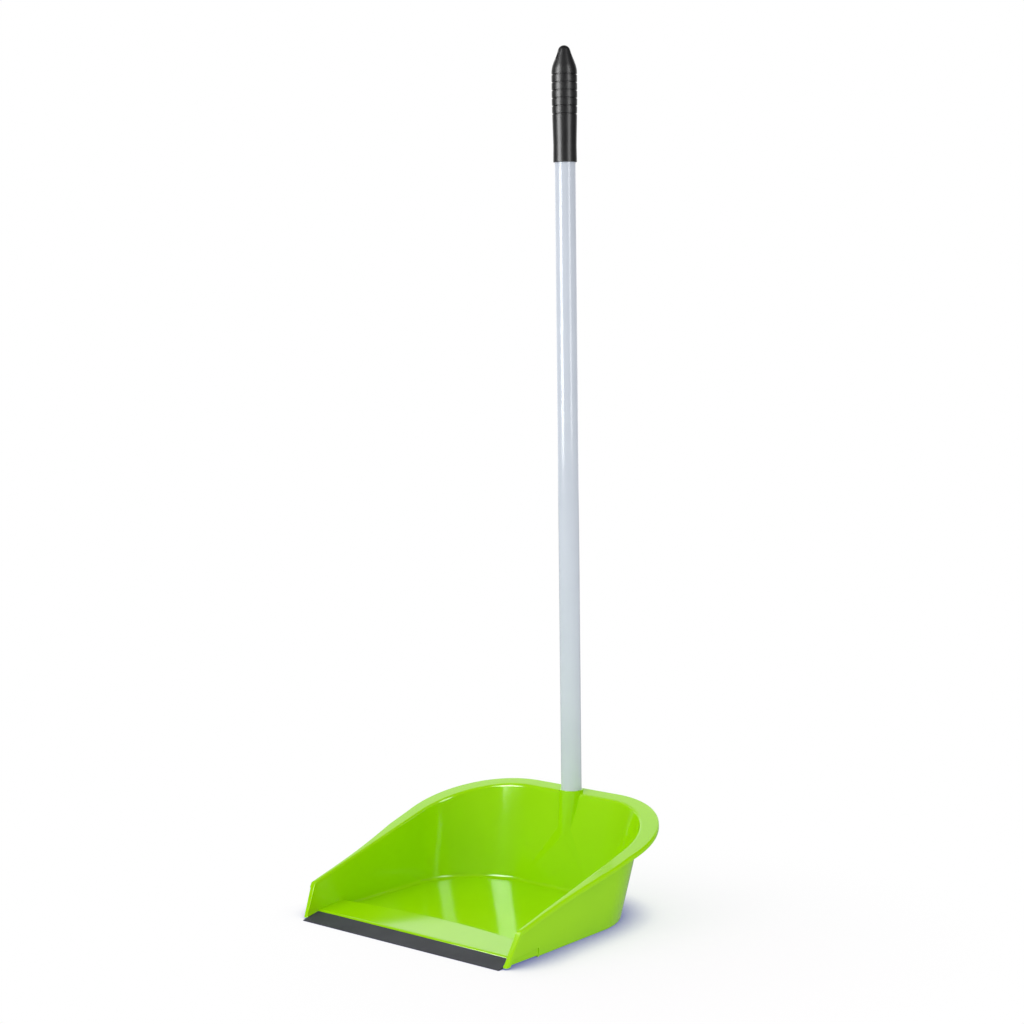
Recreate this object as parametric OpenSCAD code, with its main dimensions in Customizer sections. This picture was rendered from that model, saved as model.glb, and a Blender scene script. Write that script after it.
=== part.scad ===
// Upright dustpan: an open pan with a rolled rim, a rubber lip and a straight push-in handle.
// Millimetres, Z up, the lip to -Y, the origin on the floor under the middle of the whole.

/* [Pan] */
// Width across the feet of the side walls at their front ends
pan_w_front = 271; // [262:0.2:280]
// Width across the feet of the side walls where the rear corners begin
pan_w_rear = 264.4; // [256:0.2:272]
// Depth from the edge of the lip to the foot of the rear wall
pan_d = 247.2; // [240:0.2:254]
// Radius of the rear corners at the foot
foot_r = 85; // [65:1:95]
// Depth from the edge of the lip to the foot of the side walls
wall_front_d = 5.2; // [3:0.1:8]
// Thickness of the walls
wall_t = 2.2; // [1.8:0.1:2.8]
// Thickness of the floor
floor_t = 2.2; // [1.6:0.1:3]
// Rounding between floor and walls
crease_r = 3; // [1:0.5:5]
// Broken edge around the foot of the walls
foot_edge = 1.4; // [0.8:0.1:2.2]
// Outward run of the side walls for each unit of height
side_lean_share = 0.104; // [0.07:0.001:0.14]
// Backward run of the rear wall for each unit of height
rear_lean_share = 0.283; // [0.26:0.001:0.3]
// Growth of the corner radius for each unit of height
corner_grow_share = 0.02; // [0:0.01:0.06]
// Backward run of the front edge of the side walls for each unit of height
front_slant_share = 0.5; // [0.4:0.01:0.6]

/* [Rim] */
// Height of the rim at the front ends of the side walls
rim_front_h = 35; // [31:0.2:39]
// Rise of the rim for each unit of depth
rim_slope_share = 0.265; // [0.245:0.001:0.285]
// Width of the rim's flange at the front ends
flange_front_w = 4; // [3.4:0.1:6]
// Greatest width of the rim's flange, in the rear corners
flange_corner_w = 18; // [13:0.2:21]
// Width of the rim's flange along the rear
flange_rear_w = 13; // [10:0.2:15]
// Angle of the rear corner at which the flange is widest
flange_turn = 26; // [0:1:60]
// Power that holds back the widening of the flange along the sides
flange_ease_share = 1.5; // [1:0.1:2]
// Thickness of the flange
flange_t = 2; // [1.6:0.1:2.4]
// Height of the turned-down edge of the flange
skirt_h = 5.2; // [4:0.1:6.4]
// Thickness of the turned-down edge
skirt_t = 1.6; // [1.2:0.1:2]
// Broken edge along the outside of the flange
flange_edge = 1.2; // [0.6:0.1:1.4]
// Height of the edging's foot beside the lip
edging_foot_h = 1.6; // [1:0.1:3]
// Width of the edging at its foot
edging_foot_w = 2.4; // [2.1:0.1:3.4]

/* [Ramp] */
// Depth from the edge of the lip to the middle of the ramp's crest
crest_d = 69.2; // [60:0.2:80]
// How far the ends of the crest lie in front of its middle
crest_bow = 11; // [6:0.5:14]
// Height of the crest
crest_h = 9.7; // [9.2:0.1:12]
// Thickness of the ramp
ramp_t = 2; // [1.6:0.1:2.2]
// Height of the lower edge of the side walls' outside at the front
wall_cut_h = 6; // [5:0.1:7]
// Rise of that edge for each unit of depth
wall_cut_share = 0.058; // [0.05:0.001:0.066]
// Height of the lower edge of the side walls' inside
cheek_h = 1.8; // [1.2:0.1:3]

/* [Lip] */
// Width of the lip
lip_w = 265.2; // [240:0.2:266]
// Depth from the edge of the lip to the middle of its bead
bead_d = 25; // [20:0.5:30]
// Height of the middle of the bead
bead_h = 3.9; // [3.6:0.1:4.6]
// Radius of the bead
bead_r = 1.6; // [1.5:0.05:1.8]
// Running clearance around the bead
bead_clear = 0.05; // [0.02:0.01:0.09]
// Wall of the channel that holds the bead
channel_wall = 1.3; // [1:0.1:1.6]
// Distance from the ends of the lip to the ends of the channel
channel_inset = 12.2; // [8:0.2:20]
// Height of the channel's slot
slot_h = 2.7; // [2.5:0.1:2.8]
// Thickness of the neck between bead and blade
neck_t = 1; // [0.8:0.1:1.1]
// Thickness of the blade at its rear
blade_rear_t = 3.4; // [2.4:0.1:4]
// Thickness of the blade at its edge
blade_edge_t = 0.9; // [0.6:0.1:1.4]
// Gap between the blade and the channel
blade_gap = 0.4; // [0.3:0.1:0.8]

/* [Socket] */
// Distance from the foot of the rear wall back to the middle of the handle
handle_set = 29.4; // [28:0.2:32]
// Height of the socket's mouth
socket_h = 105.5; // [104:0.5:112]
// Depth of the socket
socket_depth = 60; // [50:1:64]
// Wall of the socket at its mouth
socket_wall = 1.6; // [1.2:0.1:2.4]
// Growth of the socket's outside radius towards its foot
socket_draft = 4; // [1:0.2:5]
// Thickness of the socket's floor
socket_floor_t = 3; // [2:0.5:4]
// Clearance of the tube in the socket
socket_clear = 0.05; // [0.02:0.01:0.09]
// Thickness of the rib under the socket
rib_t = 3; // [2:0.5:5]
// Height of the rib's lower end
rib_foot_h = 14; // [8:1:24]

/* [Handle] */
// Outside diameter of the tube
tube_d = 22; // [20:0.5:23]
// Wall of the tube
tube_wall = 0.7; // [0.5:0.1:1.2]
// Length of the tube
tube_l = 821.2; // [600:0.2:1000]
// Gap under the end plug
plug_gap = 0.4; // [0.3:0.1:1]
// Thickness of the end plug's head
plug_head_t = 2.5; // [1.5:0.5:4]
// Broken edge of the end plug's head
plug_edge = 1; // [0.5:0.1:1.4]
// Length of the end plug inside the tube
plug_l = 18; // [12:1:30]
// Clearance between the tube and what is fitted to it
tube_clear = 0.05; // [0.02:0.01:0.09]

/* [Grip] */
// Length of the grip
grip_l = 120.6; // [114:0.2:134]
// Diameter of the grip over its ribs
grip_d = 26.8; // [26:0.1:28]
// Diameter of the grip's waist
grip_waist_d = 24.5; // [24:0.1:25.6]
// Diameter of the grip's lower end
grip_foot_d = 25; // [24.2:0.1:26.4]
// Height of the waist above the lower end
grip_waist_h = 17.6; // [10:0.2:24]
// Length over which the grip keeps its full diameter, from the top
grip_full_l = 57; // [50:0.5:60]
// Solid length above the tube
grip_cap_l = 26; // [22:0.5:30]
// Radius of the rounded nose
nose_r = 6.6; // [6.2:0.1:7]
// Outward run of the tip's cone for each unit of length
tip_lean_share = 0.37; // [0.36:0.01:0.4]
// Length of the tip, down to the full diameter
tip_l = 28.6; // [27.6:0.2:29.2]
// Depth of the first groove below the top
groove_first = 30.2; // [30:0.2:32]
// Distance between grooves
groove_pitch = 8.1; // [7:0.1:8.4]
// Width of a groove
groove_w = 1.6; // [1:0.1:1.8]
// Depth of a groove
groove_depth = 0.8; // [0.4:0.1:1]
// Number of grooves
groove_count = 6; // [3:1:6]
// Diameter of the hanging hole
hang_d = 6.4; // [5:0.2:7]
// Depth of the hanging hole's middle below the top
hang_drop = 10.5; // [9.5:0.5:12]
// Length of the dish around the hanging hole
dish_l = 14; // [12:0.5:15]
// Depth of the dish
dish_depth = 1.3; // [0.8:0.1:1.6]
// Turn of the hanging hole about the handle
hang_turn = 50; // [0:1:180]

/* [Hidden] */
round_fn = 96;
bow_fn = 360;
side_steps = 8;
corner_steps = 20;
arc_steps = 8;
quarter = 90;
overrun = 1;
seam = 0.2;
pan_green = [0.42, 0.78, 0.04];
lip_grey = [0.2, 0.2, 0.22];
tube_grey = [0.74, 0.77, 0.82];
plug_black = [0.12, 0.12, 0.13];
grip_black = [0.06, 0.06, 0.065];

half_front = pan_w_front / 2;
half_rear = pan_w_rear / 2;
corner_x = half_rear - foot_r;
corner_d = pan_d - foot_r;
handle_d = pan_d + handle_set;
taper_share = (half_front - half_rear) / (corner_d - wall_front_d);
back_drift_share = rear_lean_share - corner_grow_share;
side_drift_share = side_lean_share - corner_grow_share - taper_share * back_drift_share;
front_drift_share = side_lean_share - taper_share * front_slant_share;
rim_front_d = wall_front_d + front_slant_share * rim_front_h;
side_run = corner_d - rim_front_d;
widen_run = side_run + foot_r * flange_turn * PI / (2 * quarter);
tube_r = tube_d / 2;
socket_r = tube_r + socket_clear + socket_wall;
socket_foot_r = socket_r + socket_draft;
socket_foot_h = socket_h - socket_depth - socket_floor_t;
rib_top_h = socket_foot_h + socket_depth / 2;
plug_h = socket_h - socket_depth + plug_gap;
tube_h = plug_h + plug_head_t;
grip_top_h = tube_h + tube_l + grip_cap_l;
grip_h = grip_top_h - grip_l;
channel_r = bead_r + bead_clear + channel_wall;
channel_w = lip_w - 2 * channel_inset;
bore_w = channel_w - 2 * channel_wall;
bead_w = bore_w - 2 * blade_gap;
nose_h = bead_h + channel_r - ramp_t - seam;
cut_w = pan_w_front + 2 * flange_corner_w;
ramp_half = half_front - wall_t / 2;
bow_r = (ramp_half * ramp_half + crest_bow * crest_bow) / (2 * crest_bow);
bow_d = crest_d - bow_r;
grip_r = grip_d / 2;
tip_lean = atan(tip_lean_share);
tip_start_r = nose_r * (1 / cos(tip_lean) - tip_lean_share);
shoulder_r = (tip_start_r + tip_lean_share * tip_l - grip_r) / (1 / cos(tip_lean) - 1);
dish_r = (dish_l * dish_l / 4 + dish_depth * dish_depth) / (2 * dish_depth);

// A station is [foot, run for each unit of height, outward, flange width, slant of its own plane].
front_station = [
  [half_front, wall_front_d],
  [front_drift_share, front_slant_share],
  [1, 0],
  flange_front_w,
  front_slant_share
];

rear_station = [
  [0, pan_d],
  [0, rear_lean_share],
  [0, 1],
  flange_rear_w,
  0
];

// Width of the flange at a run along the foot from the front end of the rim.
function widened(run) =
  let (t = pow(run / widen_run, flange_ease_share))
  flange_front_w + (flange_corner_w - flange_front_w) * (1 - cos(2 * quarter * t)) / 2;

// Width of the flange past its widest place, by the share of the way to the rear.
function narrowed(t) = flange_rear_w + (flange_corner_w - flange_rear_w) * (1 + cos(2 * quarter * t)) / 2;

function side_station(d) = [
  [half_front - taper_share * (d - wall_front_d), d],
  [side_lean_share, 0],
  [1, 0],
  widened(d - rim_front_d),
  0
];

function corner_station(a) = [
  [corner_x + foot_r * cos(a), corner_d + foot_r * sin(a)],
  [side_drift_share + corner_grow_share * cos(a), back_drift_share + corner_grow_share * sin(a)],
  [cos(a), sin(a)],
  a < flange_turn
    ? widened(side_run + foot_r * a * PI / (2 * quarter))
    : narrowed((a - flange_turn) / (quarter - flange_turn)),
  0
];

function mirrored(s) = [
  [-s[0][0], s[0][1]],
  [-s[1][0], s[1][1]],
  [-s[2][0], s[2][1]],
  s[3],
  s[4]
];

right_stations = concat(
  [front_station],
  [for (k = [1 : side_steps - 1]) side_station(rim_front_d + side_run * k / side_steps)],
  [for (k = [0 : corner_steps]) corner_station(quarter * k / corner_steps)]
);
left_stations = [for (k = [len(right_stations) - 1 : -1 : 0]) mirrored(right_stations[k])];
stations = concat(right_stations, [rear_station], left_stations);

function rim_h(d) = rim_front_h + rim_slope_share * (d - rim_front_d);

// Height at which a station's wall meets the rim's plane lowered by drop.
function meet_h(s, drop) = (rim_h(s[0][1]) - drop) / (1 - rim_slope_share * s[1][1]);

function wall_at(s, h, inset) = [
  s[0][0] + s[1][0] * h - inset * s[2][0],
  s[0][1] + s[1][1] * h - inset * s[2][1],
  h
];

function rim_at(s, out) =
  let (w = wall_at(s, meet_h(s, 0), -out))
  [w[0], w[1], rim_h(w[1])];

function lowered(p, s, drop) =
  let (fall = drop / (1 - rim_slope_share * s[4]))
  [p[0], p[1] - s[4] * fall, p[2] - fall];

function section(s) = [
  wall_at(s, 0, foot_edge),
  wall_at(s, foot_edge, 0),
  wall_at(s, meet_h(s, flange_t), 0),
  lowered(rim_at(s, s[3] - skirt_t), s, flange_t),
  lowered(rim_at(s, s[3] - skirt_t), s, skirt_h),
  lowered(rim_at(s, s[3]), s, skirt_h),
  lowered(rim_at(s, s[3]), s, flange_edge),
  rim_at(s, s[3] - flange_edge),
  rim_at(s, -wall_t),
  wall_at(s, floor_t + crease_r, wall_t),
  wall_at(s, floor_t, wall_t + crease_r)
];

whole_d = max(
  handle_d + socket_foot_r,
  handle_d + grip_r,
  rim_at(rear_station, flange_rear_w)[1]
);
section_n = len(section(front_station));
station_n = len(stations);
tray_points = [for (s = stations) each section(s)];

function tray_id(i, j) = i * section_n + j;

tray_skin = [
  for (i = [0 : station_n - 2], j = [0 : section_n - 2])
    each [
      [tray_id(i, j), tray_id(i + 1, j + 1), tray_id(i + 1, j)],
      [tray_id(i, j), tray_id(i, j + 1), tray_id(i + 1, j + 1)]
    ]
];
// Pairs of stations across the pan close the floor, and a fan closes it at the rear.
middle_n = (station_n - 1) / 2;

function far_id(i, j) = tray_id(station_n - 1 - i, j);

function sheet(j) = concat(
  [
    for (i = [0 : middle_n - 3])
      each [
        [tray_id(i, j), tray_id(i + 1, j), far_id(i, j)],
        [tray_id(i + 1, j), far_id(i + 1, j), far_id(i, j)]
      ]
  ],
  [
    [tray_id(middle_n - 2, j), tray_id(middle_n - 1, j), tray_id(middle_n, j)],
    [tray_id(middle_n - 2, j), tray_id(middle_n, j), far_id(middle_n - 2, j)],
    [far_id(middle_n - 2, j), tray_id(middle_n, j), far_id(middle_n - 1, j)]
  ]
);

function turned(faces) = [for (f = faces) [f[2], f[1], f[0]]];

// Faces of one cut end of the wall and its flange, by place in the section.
end_faces = [
  [0, 1, 10],
  [1, 9, 10],
  [1, 2, 9],
  [2, 8, 9],
  [2, 3, 7],
  [2, 7, 8],
  [3, 4, 5],
  [3, 5, 6],
  [3, 6, 7]
];
tray_ends = concat(
  turned(end_faces),
  [for (f = end_faces) [far_id(0, f[0]), far_id(0, f[1]), far_id(0, f[2])]],
  [
    [tray_id(0, 0), far_id(0, section_n - 1), tray_id(0, section_n - 1)],
    [tray_id(0, 0), far_id(0, 0), far_id(0, section_n - 1)]
  ]
);

module place() {
  translate([0, -whole_d / 2, 0])
    children();
}

// Sweeps a profile drawn in depth and height across the pan.
module across(w) {
  rotate([quarter, 0, quarter])
    linear_extrude(height = w, center = true)
      children();
}

module rod_across(w, r, d, h) {
  translate([-w / 2, d, h])
    rotate([0, quarter, 0])
      cylinder(h = w, r = r, $fn = round_fn);
}

module tray() {
  polyhedron(
    points = tray_points,
    faces = concat(tray_skin, sheet(0), turned(sheet(section_n - 1)), tray_ends),
    convexity = 10
  );
}

module bow(r) {
  translate([0, bow_d, -overrun])
    cylinder(h = crest_h + 2 * overrun, r = r, $fn = bow_fn);
}

// Room in front of the crest's bow, under a ceiling that runs from the front to the crest.
module room(w, front_h, crest_end_h) {
  intersection() {
    across(w)
      polygon([
        [-overrun, -overrun],
        [crest_d + overrun, -overrun],
        [crest_d + overrun, crest_end_h],
        [-overrun, front_h]
      ]);
    bow(bow_r - ramp_t / 2);
  }
}

// The room between the walls clears the lip, and the walls' inside reaches lower beside it.
module ramp_hollow() {
  room(cut_w, cheek_h, cheek_h);
  room(lip_w + 2 * blade_gap, bead_h + blade_rear_t / 2, crest_h - ramp_t);
}

// Takes the outside of the side walls away up to a higher line than their inside.
module wall_cut() {
  intersection() {
    room(cut_w, wall_cut_h, wall_cut_h + wall_cut_share * crest_d);
    for (side = [0, 1])
      mirror([side, 0, 0])
        translate([ramp_half, -overrun, -overrun])
          cube([cut_w / 2 - ramp_half, crest_d + 2 * overrun, crest_h + 2 * overrun]);
  }
}

module ramp() {
  intersection() {
    across(2 * ramp_half)
      polygon([
        [bead_d, bead_h + channel_r],
        [crest_d + overrun, crest_h],
        [crest_d + overrun, crest_h - ramp_t],
        [bead_d, bead_h + channel_r - ramp_t]
      ]);
    bow(bow_r);
  }
  intersection() {
    across(2 * ramp_half)
      polygon([
        [bead_d, 0],
        [crest_d + overrun, 0],
        [crest_d + overrun, crest_h - ramp_t / 2],
        [bead_d, bead_h]
      ]);
    difference() {
      bow(bow_r);
      bow(bow_r - ramp_t);
    }
  }
  rod_across(channel_w, channel_r, bead_d, bead_h);
  intersection() {
    rod_across(2 * ramp_half, channel_r, bead_d, bead_h);
    across(2 * ramp_half)
      translate([bead_d - channel_r, nose_h])
        square([2 * channel_r, ramp_t + 2 * seam]);
  }
}

edging_norm_share = sqrt(1 + front_slant_share * front_slant_share);
edging_rise_share = 1 / (1 - rim_slope_share * front_slant_share);

function edging_section(h, w, back, up) = [
  for (q = [
    [-wall_t / 2, -seam],
    [w, -seam],
    [w, skirt_h],
    [w - skirt_t, skirt_h],
    [w - skirt_t, flange_t],
    [-wall_t / 2, flange_t]
  ])
    let (p = wall_at(front_station, h, -q[0]))
    [p[0], p[1] + back * q[1], p[2] + up * q[1]]
];

edging_end = [
  [0, 1, 4],
  [0, 4, 5],
  [1, 2, 3],
  [1, 3, 4]
];

// Turned edge down the front of a side wall.
module edging() {
  top_run_share = edging_norm_share * edging_rise_share;
  low = edging_section(edging_foot_h, edging_foot_w, edging_norm_share, 0);
  high = edging_section(rim_front_h - seam, flange_front_w, top_run_share, top_run_share * rim_slope_share);
  n = len(low);
  polyhedron(
    points = concat(low, high),
    faces = concat(
      edging_end,
      [for (f = turned(edging_end)) [n + f[0], n + f[1], n + f[2]]],
      [
        for (k = [0 : n - 1])
          each [
            [k, n + k, n + (k + 1) % n],
            [k, n + (k + 1) % n, (k + 1) % n]
          ]
      ]
    ),
    convexity = 4
  );
}

module socket_body() {
  translate([0, handle_d, socket_foot_h])
    cylinder(h = socket_h - socket_foot_h, r1 = socket_foot_r, r2 = socket_r, $fn = round_fn);
  across(rib_t)
    polygon([
      [pan_d + rear_lean_share * rib_foot_h - wall_t / 2, rib_foot_h],
      [handle_d, socket_foot_h + socket_floor_t / 2],
      [handle_d, rib_top_h],
      [pan_d + rear_lean_share * rib_top_h - wall_t / 2, rib_top_h]
    ]);
}

module pan() {
  color(pan_green)
    place()
      difference() {
        union() {
          difference() {
            tray();
            ramp_hollow();
            wall_cut();
          }
          ramp();
          edging();
          mirror([1, 0, 0])
            edging();
          socket_body();
        }
        rod_across(bore_w, bead_r + bead_clear, bead_d, bead_h);
        across(bore_w)
          translate([bead_d - channel_r - overrun, bead_h - slot_h / 2])
            square([channel_r + overrun, slot_h]);
        translate([0, handle_d, socket_h - socket_depth])
          cylinder(h = socket_depth + overrun, r = tube_r + socket_clear, $fn = round_fn);
      }
}

module lip() {
  color(lip_grey)
    place()
      union() {
        rod_across(bead_w, bead_r, bead_d, bead_h);
        across(bead_w)
          translate([bead_d - channel_r - blade_gap - overrun, bead_h - neck_t / 2])
            square([channel_r + blade_gap + overrun, neck_t]);
        difference() {
          across(lip_w)
            polygon([
              [0, 0],
              [bead_d - bead_r, bead_h - blade_rear_t / 2],
              [bead_d - bead_r, bead_h + blade_rear_t / 2],
              [0, blade_edge_t]
            ]);
          rod_across(lip_w + 2 * overrun, channel_r + blade_gap, bead_d, bead_h);
        }
      }
}

module handle_tube() {
  color(tube_grey)
    place()
      translate([0, handle_d, tube_h])
        difference() {
          cylinder(h = tube_l, r = tube_r, $fn = round_fn);
          translate([0, 0, -overrun])
            cylinder(h = tube_l + 2 * overrun, r = tube_r - tube_wall, $fn = round_fn);
        }
}

module tube_plug() {
  plug_r = tube_r - tube_wall - tube_clear;
  color(plug_black)
    place()
      translate([0, handle_d, plug_h])
        rotate_extrude($fn = round_fn)
          polygon([
            [0, 0],
            [tube_r - plug_edge, 0],
            [tube_r - tube_clear, plug_edge],
            [tube_r - tube_clear, plug_head_t],
            [plug_r, plug_head_t],
            [plug_r, plug_head_t + plug_l - plug_edge],
            [plug_r - plug_edge, plug_head_t + plug_l],
            [0, plug_head_t + plug_l]
          ]);
}

// Radius of the ribbed part at a depth below the top.
function body_r(t) =
  t < grip_full_l
    ? grip_r
    : grip_r - (grip_d - grip_waist_d) / 2 * (t - grip_full_l) / (grip_l - grip_waist_h - grip_full_l);

module grip_body() {
  rotate_extrude($fn = round_fn)
    polygon(concat(
      [
        [0, 0],
        [grip_foot_d / 2, 0],
        [grip_waist_d / 2, grip_waist_h]
      ],
      [
        for (k = [groove_count - 1 : -1 : 0])
          let (t = groove_first + k * groove_pitch)
          each [
            [body_r(t + groove_w / 2), grip_l - t - groove_w / 2],
            [body_r(t) - groove_depth, grip_l - t - groove_w / 4],
            [body_r(t) - groove_depth, grip_l - t + groove_w / 4],
            [body_r(t - groove_w / 2), grip_l - t + groove_w / 2]
          ]
      ],
      [
        for (k = [0 : arc_steps])
          let (a = tip_lean * k / arc_steps)
          [grip_r - shoulder_r * (1 - cos(a)), grip_l - tip_l + shoulder_r * sin(a)]
      ],
      [
        for (k = [arc_steps : -1 : 0])
          let (a = (quarter - tip_lean) * k / arc_steps)
          [nose_r * sin(a), grip_l - nose_r * (1 - cos(a))]
      ]
    ));
}

// Hanging hole along X with a shallow dish at both ends.
module hang_hole() {
  reach = dish_r - dish_depth;
  translate([-grip_r, 0, grip_l - hang_drop])
    rotate([0, quarter, 0])
      cylinder(h = grip_d, r = hang_d / 2, $fn = round_fn);
  for (side = [0, 1])
    mirror([side, 0, 0])
      translate([
        tip_start_r + tip_lean_share * hang_drop + reach * cos(tip_lean),
        0,
        grip_l - hang_drop + reach * sin(tip_lean)
      ])
        sphere(r = dish_r, $fn = round_fn);
}

module grip() {
  color(grip_black)
    place()
      translate([0, handle_d, grip_h])
        rotate([0, 0, hang_turn])
          difference() {
            grip_body();
            translate([0, 0, -overrun])
              cylinder(h = grip_l - grip_cap_l + overrun, r = tube_r + tube_clear, $fn = round_fn);
            hang_hole();
          }
}

pan();
lip();
handle_tube();
tube_plug();
grip();
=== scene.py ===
"""Upright dustpan: fine meshes, finishes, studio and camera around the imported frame."""

from __future__ import annotations

import logging
import math
from dataclasses import dataclass
from enum import Enum
from typing import Any, Mapping, Sequence, Union

import bmesh
import bpy
from mathutils import Matrix, Vector

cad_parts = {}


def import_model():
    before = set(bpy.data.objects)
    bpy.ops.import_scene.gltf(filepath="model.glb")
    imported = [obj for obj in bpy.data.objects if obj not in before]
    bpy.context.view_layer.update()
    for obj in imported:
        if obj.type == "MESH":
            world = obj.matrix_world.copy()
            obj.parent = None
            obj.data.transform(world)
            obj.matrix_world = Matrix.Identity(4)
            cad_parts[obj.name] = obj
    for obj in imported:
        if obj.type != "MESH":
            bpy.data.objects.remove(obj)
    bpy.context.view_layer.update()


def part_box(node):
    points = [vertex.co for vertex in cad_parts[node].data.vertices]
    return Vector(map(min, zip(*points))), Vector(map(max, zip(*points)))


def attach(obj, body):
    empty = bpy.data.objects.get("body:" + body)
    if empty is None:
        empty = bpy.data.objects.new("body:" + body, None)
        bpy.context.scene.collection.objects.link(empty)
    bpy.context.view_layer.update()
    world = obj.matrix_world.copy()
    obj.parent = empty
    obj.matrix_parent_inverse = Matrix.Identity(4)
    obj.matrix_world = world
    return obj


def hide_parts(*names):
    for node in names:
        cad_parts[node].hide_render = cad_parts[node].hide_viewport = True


LOG = logging.getLogger("dustpan")
MM = 0.001
PHOTO_SIDE = 1024
SENSOR_MM = 36.0
TURN_STEPS = 96
ROD_STEPS = 64
ROUND_STEPS = 3
SHARP_ANGLE = math.radians(32)
QUARTER = 90.0
WELD = 1e-7
SLIVER = 4e-6
SLACK = 2e-5
CLIP_END = 50.0
WHITE = (1.0, 1.0, 1.0)
BLACK = (0.0, 0.0, 0.0)

# Places of the Mix node's sockets when it mixes colours.
MIX_SHARE, MIX_FIRST, MIX_SECOND, MIX_COLOR = 0, 6, 7, 2

# Octaves, roughness and thresholds of the noises in a finish.
PATCH_DETAIL, PATCH_ROUGHNESS, PATCH_RANGE = 3.0, 0.55, (0.3, 0.7)
GRAIN_DETAIL, GRAIN_ROUGHNESS = 2.0, 0.6
MARK_DULLING = 2.0
SCUFF_DETAIL = 3.0
GATE_SCALE, GATE_RANGE = 2.0, (0.5, 0.62)
STREAK_STRETCH, STREAK_DETAIL, STREAK_RANGE = (1.0, 1.0, 0.012), 4.0, (0.45, 0.75)
SPECK_RANGE = (0.62, 0.72)

# Stretch, turn and thresholds of the two sets of scuff lines.
SCUFF_LINES = (
    ((0.06, 1.0, 1.0), (0.2, 0.3, 0.5), (0.7, 0.76)),
    ((1.0, 0.05, 1.0), (0.5, -0.2, 0.9), (0.71, 0.77)),
)

Color = tuple[float, float, float]
Span = tuple[float, float]
Number = Union["Value", float]
BMesh = bmesh.types.BMesh
BMEdge = bmesh.types.BMEdge
BMVert = bmesh.types.BMVert
Object = bpy.types.Object
Ring = list[BMVert]


class Join(Enum):
    """How one solid is joined to another."""

    ADD = "UNION"
    CUT = "DIFFERENCE"


class Marks(Enum):
    """The traces of making and use that a finish carries."""

    SCUFFS = "scuffs"
    STREAKS = "streaks"
    SPECKS = "specks"


class Rays(Enum):
    """The kinds of reflection that a lamp takes part in."""

    GLOSS = "gloss"
    SHADE = "shade"


class Body(Enum):
    """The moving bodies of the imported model."""

    PAN = "pan"
    LIP = "lip"
    HANDLE = "handle"


class Value:
    """A shader socket that takes part in Python expressions."""

    def __init__(self, graph: Graph, socket: bpy.types.NodeSocket) -> None:
        """Keeps the socket and the graph that new Math nodes go into."""
        self.graph = graph
        self.socket = socket

    def _math(self, operation: str, first: Number, second: Number) -> Value:
        """Adds one Math node.

        Args:
            operation: The node's operation.
            first: Its first value.
            second: Its second value.

        Returns:
            The node's result.
        """
        made = self.graph.node("ShaderNodeMath", {"operation": operation}, {0: first, 1: second})
        return self.graph.out(made)

    def __add__(self, other: Number) -> Value:
        """Sum with a value or number."""
        return self._math("ADD", self, other)

    def __radd__(self, other: float) -> Value:
        """Sum with a number on the left."""
        return self._math("ADD", other, self)

    def __sub__(self, other: Number) -> Value:
        """Difference from a value or number."""
        return self._math("SUBTRACT", self, other)

    def __rsub__(self, other: float) -> Value:
        """Difference of a number and this value."""
        return self._math("SUBTRACT", other, self)

    def __mul__(self, other: Number) -> Value:
        """Product with a value or number."""
        return self._math("MULTIPLY", self, other)

    def __rmul__(self, other: float) -> Value:
        """Product with a number on the left."""
        return self._math("MULTIPLY", other, self)

    def at_least(self, other: Number) -> Value:
        """The greater of two values."""
        return self._math("MAXIMUM", self, other)

    def eased(self, low: float, high: float) -> Value:
        """Turns a range of this value into a smooth step.

        Args:
            low: The value that becomes zero.
            high: The value that becomes one.

        Returns:
            The step.
        """
        sockets = {"Value": self, "From Min": low, "From Max": high}
        made = self.graph.node("ShaderNodeMapRange", {"interpolation_type": "SMOOTHSTEP"}, sockets)
        return self.graph.out(made)


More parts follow.
